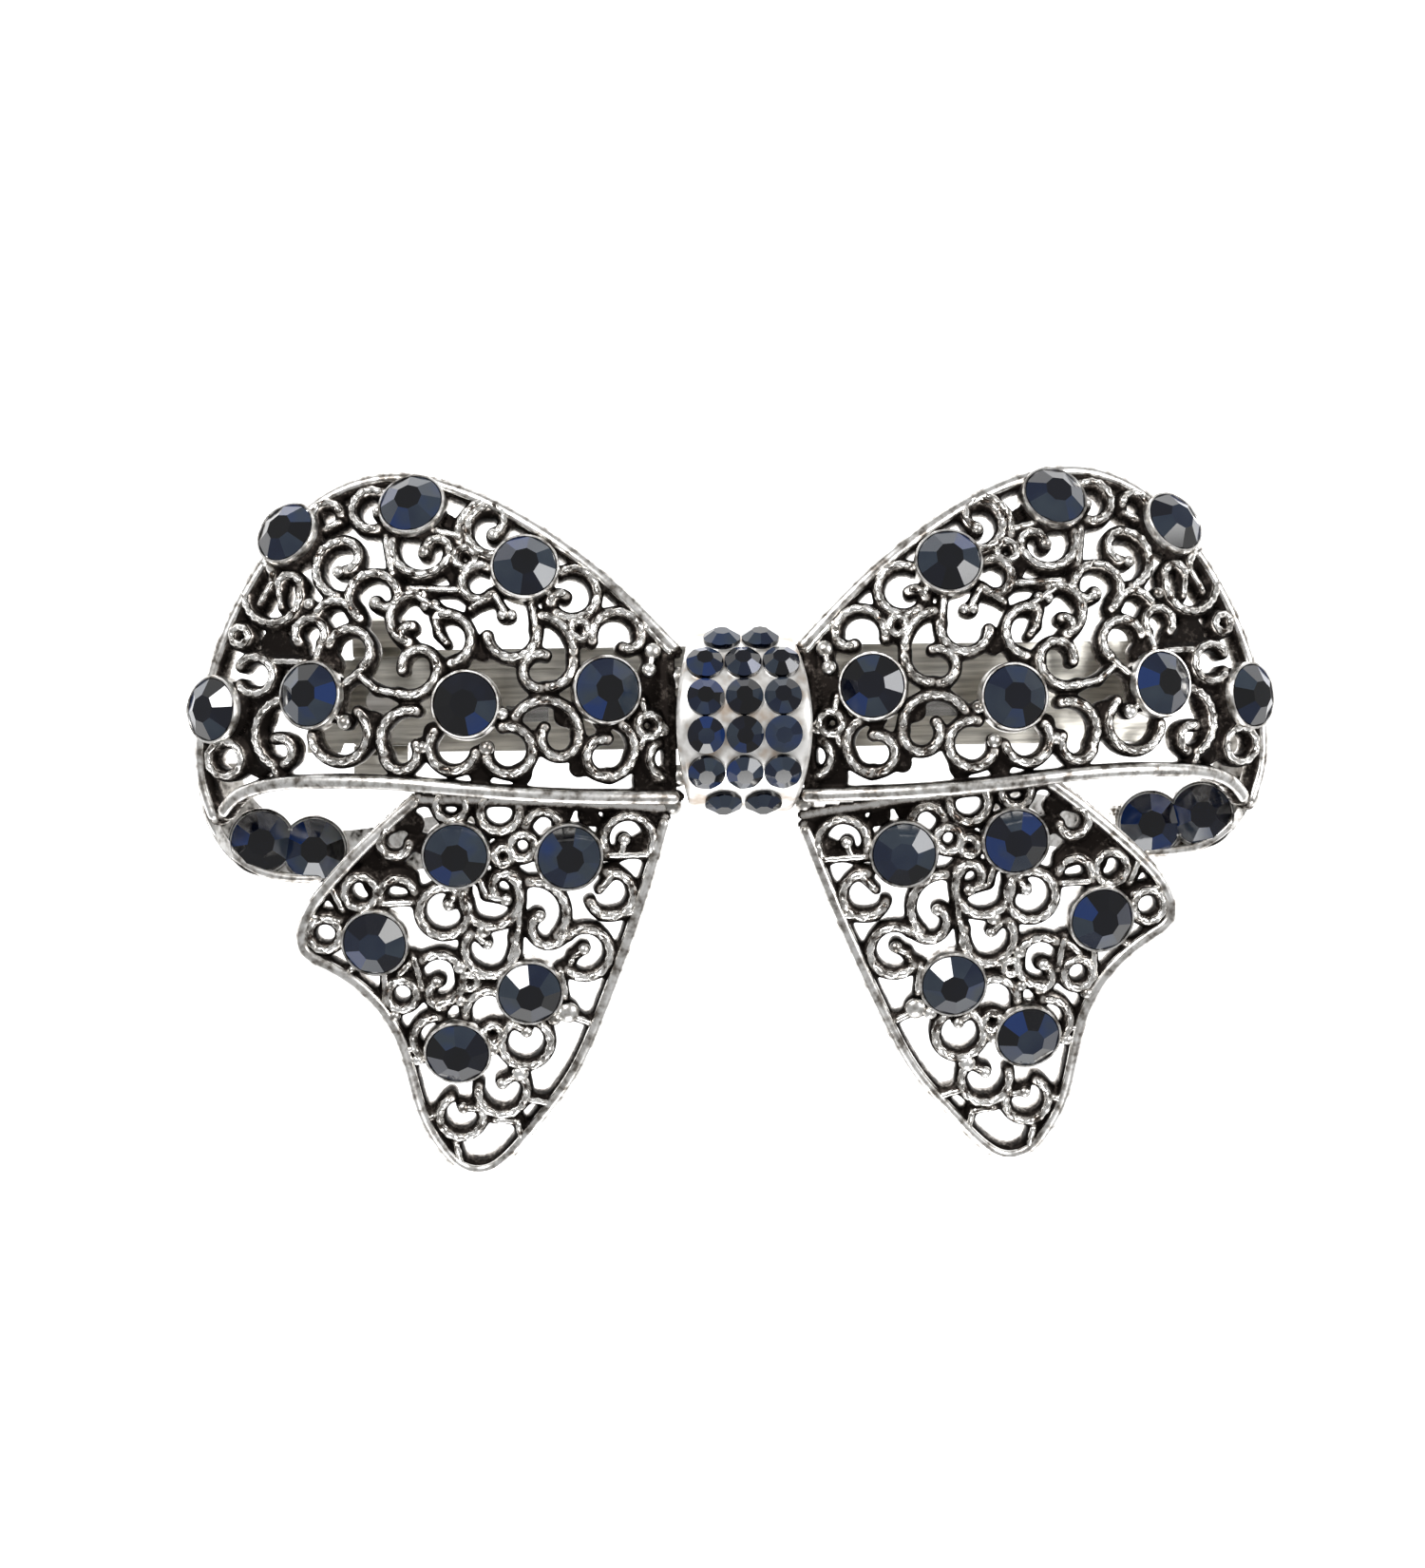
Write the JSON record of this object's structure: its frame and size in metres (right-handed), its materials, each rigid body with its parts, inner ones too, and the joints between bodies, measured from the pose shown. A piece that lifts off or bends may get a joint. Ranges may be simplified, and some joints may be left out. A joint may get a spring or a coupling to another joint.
{
  "type": "bow barrette hair clip",
  "caption": "Openwork ribbon-bow ornament in antique silver tone, set with dark blue crystals, on a hinged spring barrette clip for the hair.",
  "frame": {"origin": "bottom centre of the whole object's box: under the middle of the bow, at the height of the clip arm's underside", "axes": "+X along the clip from its clasp to its hinge (the viewer's right from the front), +Y towards the top of the bow, +Z out of the bow's front"},
  "size_m": [0.0898, 0.0583, 0.0194],
  "materials": {
    "antique_silver": "cast, oxidised in the hollows, polished on the ridges",
    "bright_silver": "cast and polished",
    "blue_crystal": "faceted, foil-backed",
    "solder": "dull",
    "clip_steel": "nickel plated, satin",
    "spring_steel": "bright spring strip",
    "rivet_steel": "plain"
  },
  "bodies": {
    "root": {"right_loop": "antique_silver", "left_loop": "antique_silver", "right_tail": "antique_silver", "left_tail": "antique_silver", "right_return_band": "antique_silver", "left_return_band": "antique_silver", "knot_band": "bright_silver", "knot_core": "antique_silver", "right_loop_crystals": "blue_crystal", "left_loop_crystals": "blue_crystal", "right_tail_crystals": "blue_crystal", "left_tail_crystals": "blue_crystal", "right_band_crystals": "blue_crystal", "left_band_crystals": "blue_crystal", "knot_crystals": "blue_crystal", "solder_joints": "solder", "clip_base": "clip_steel", "hinge_rivet": "rivet_steel", "clasp_bridge": "clip_steel", "clasp_rivet": "rivet_steel"},
    "arm": {"clip_arm": "clip_steel"},
    "leaf": {"tension_leaf": "spring_steel"},
    "ear_upper": {"clasp_ear_upper": "clip_steel"},
    "ear_lower": {"clasp_ear_lower": "clip_steel"}
  },
  "joints": [
    {"name": "arm_swing", "type": "hinge", "parent": "root", "child": "arm", "pos_m": [0.034, 0.0103, 0.0026], "axis": [0, -1, 0], "range_deg": [0, 75]},
    {"name": "leaf_press", "type": "hinge", "parent": "root", "child": "leaf", "pos_m": [0.034, 0.0103, 0.0026], "axis": [0, 1, 0], "range_deg": [0, 1.8], "stiffness_Nm_per_rad": 1.5},
    {"name": "ear_upper_squeeze", "type": "hinge", "parent": "root", "child": "ear_upper", "pos_m": [-0.029, 0.0144, 0.0057], "axis": [1, 0, 0], "range_deg": [0, 8], "stiffness_Nm_per_rad": 0.4},
    {"name": "ear_lower_squeeze", "type": "hinge", "parent": "root", "child": "ear_lower", "pos_m": [-0.029, 0.0062, 0.0057], "axis": [-1, 0, 0], "range_deg": [0, 8], "stiffness_Nm_per_rad": 0.4}
  ]
}
